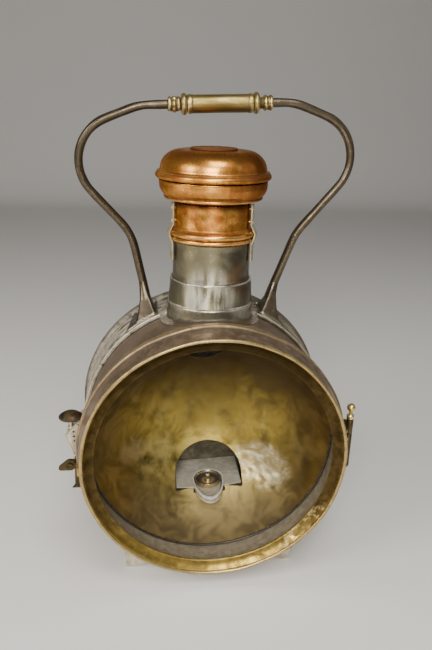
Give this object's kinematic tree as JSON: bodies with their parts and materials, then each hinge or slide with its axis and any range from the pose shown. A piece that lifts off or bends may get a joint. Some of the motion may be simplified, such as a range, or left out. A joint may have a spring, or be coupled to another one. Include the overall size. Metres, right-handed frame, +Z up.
{
  "type": "locomotive lantern",
  "caption": "Round oil-burning locomotive lantern: drum with hinged glazed door, reflector, burner, copper-topped chimney, bow handle with grip and cradle feet.",
  "frame": {"origin": "on the standing plane, midway between the front edge of the door and the back of the rear rim, below the drum's axis", "axes": "+Z up, -Y towards the door, +X towards the hinge"},
  "size_m": [0.3127, 0.157, 0.503],
  "materials": {
    "drum_paint": "worn, dusty",
    "tinned_sheet": "dull tinned iron with brown stains",
    "white_sheet": "pale tinned iron",
    "dark_sheet": "sooted tinned iron",
    "door_brass": "tarnished",
    "bright_brass": "rubbed bright",
    "reflector_brass": "worn plating over brass",
    "copper": "warm, partly polished",
    "dark_copper": "dark brown",
    "handle_iron": "brown iron",
    "glass": "clear",
    "wick": "cotton"
  },
  "bodies": {
    "drum": {"drum_shell": "drum_paint", "rear_section": "tinned_sheet", "back_cover": "tinned_sheet", "drum_hinge_leaf": "door_brass", "hinge_pin": "bright_brass", "reflector": "reflector_brass", "burner_plate": "tinned_sheet", "burner_nose": "white_sheet", "oil_font": "dark_sheet", "chimney_saddle": "tinned_sheet", "chimney_collar": "tinned_sheet", "chimney_tube": "tinned_sheet", "handle_rod": "handle_iron", "bracket_left": "tinned_sheet", "bracket_right": "tinned_sheet", "bracket_rivets": "tinned_sheet", "grip_collars": "bright_brass", "ferrule_left": "door_brass", "ferrule_right": "door_brass", "inlet_box": "white_sheet", "inlet_plate": "white_sheet", "inlet_strip": "bright_brass", "spindle_bush": "bright_brass", "catch_bracket": "door_brass", "catch_screw": "door_brass", "front_cradle": "white_sheet", "rear_cradle": "white_sheet", "cradle_rivets": "tinned_sheet"},
    "door": {"door_ring": "door_brass", "door_bevel": "bright_brass", "front_glass": "glass", "glass_wire": "door_brass", "door_hinge_leaves": "door_brass", "door_hinge_rivets": "bright_brass", "door_lug": "bright_brass"},
    "copper_top": {"copper_neck": "copper", "cap_cup": "copper", "cap_dome": "copper", "cap_disc": "copper", "cap_stays": "dark_copper", "strap_left": "tinned_sheet", "strap_right": "door_brass", "strap_rivets": "bright_brass"},
    "damper": {"damper_spindle": "tinned_sheet", "mushroom_cap": "dark_copper"},
    "catch": {"catch_lever": "bright_brass"},
    "grip": {"grip_sleeve": "bright_brass"},
    "burner": {"burner_cup": "dark_copper", "wick_tube": "bright_brass", "wick": "wick"}
  },
  "joints": [
    {"name": "door_hinge", "type": "hinge", "parent": "drum", "child": "door", "pos_m": [0.146, -0.0445, 0.152], "axis": [0, 0, 1], "range_deg": [0, 110]},
    {"name": "top_lift", "type": "slide", "parent": "drum", "child": "copper_top", "axis": [0, 0, 1], "range_m": [0, 0.03]},
    {"name": "damper_lift", "type": "slide", "parent": "drum", "child": "damper", "axis": [0, 0, 1], "range_m": [0, 0.008]},
    {"name": "catch_turn", "type": "hinge", "parent": "drum", "child": "catch", "pos_m": [-0.147, -0.0432, 0.1365], "axis": [0, 1, 0], "range_deg": [0, 25]},
    {"name": "grip_spin", "type": "hinge", "parent": "drum", "child": "grip", "pos_m": [0.0085, 0.0495, 0.49059], "axis": [0.9991, 0, 0.0433], "continuous": true},
    {"name": "burner_turn", "type": "hinge", "parent": "drum", "child": "burner", "pos_m": [0.00445, 0.0295, 0.06512], "axis": [-0.0523, 0, 0.9986], "range_deg": [0, 90]}
  ]
}
